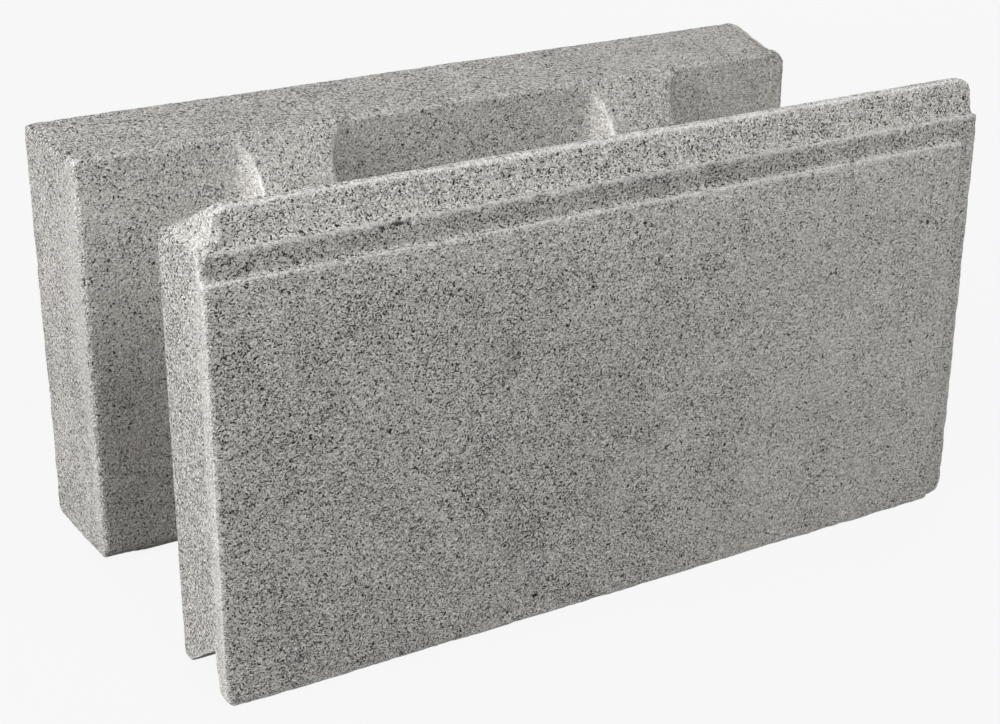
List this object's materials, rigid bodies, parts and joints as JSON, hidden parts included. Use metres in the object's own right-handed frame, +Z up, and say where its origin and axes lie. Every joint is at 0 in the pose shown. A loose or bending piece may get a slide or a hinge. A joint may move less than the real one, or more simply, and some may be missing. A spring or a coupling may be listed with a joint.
{
  "type": "interlocking shuttering block",
  "caption": "Hollow concrete shuttering block: a stepped face shell with a bed tongue, a plain rear shell and notched cross webs between open cells.",
  "frame": {"origin": "centre of the bounding box in plan, at the bed (lowest) plane", "axes": "+X along the length towards the end with the stepped-back strip, +Y from the face to the rear shell, +Z up, right way up on its bed"},
  "size_m": [0.505, 0.262, 0.2695],
  "materials": {
    "concrete": "rough dry-pressed concrete with open pores"
  },
  "bodies": {
    "root": {"block": "concrete"}
  },
  "joints": []
}
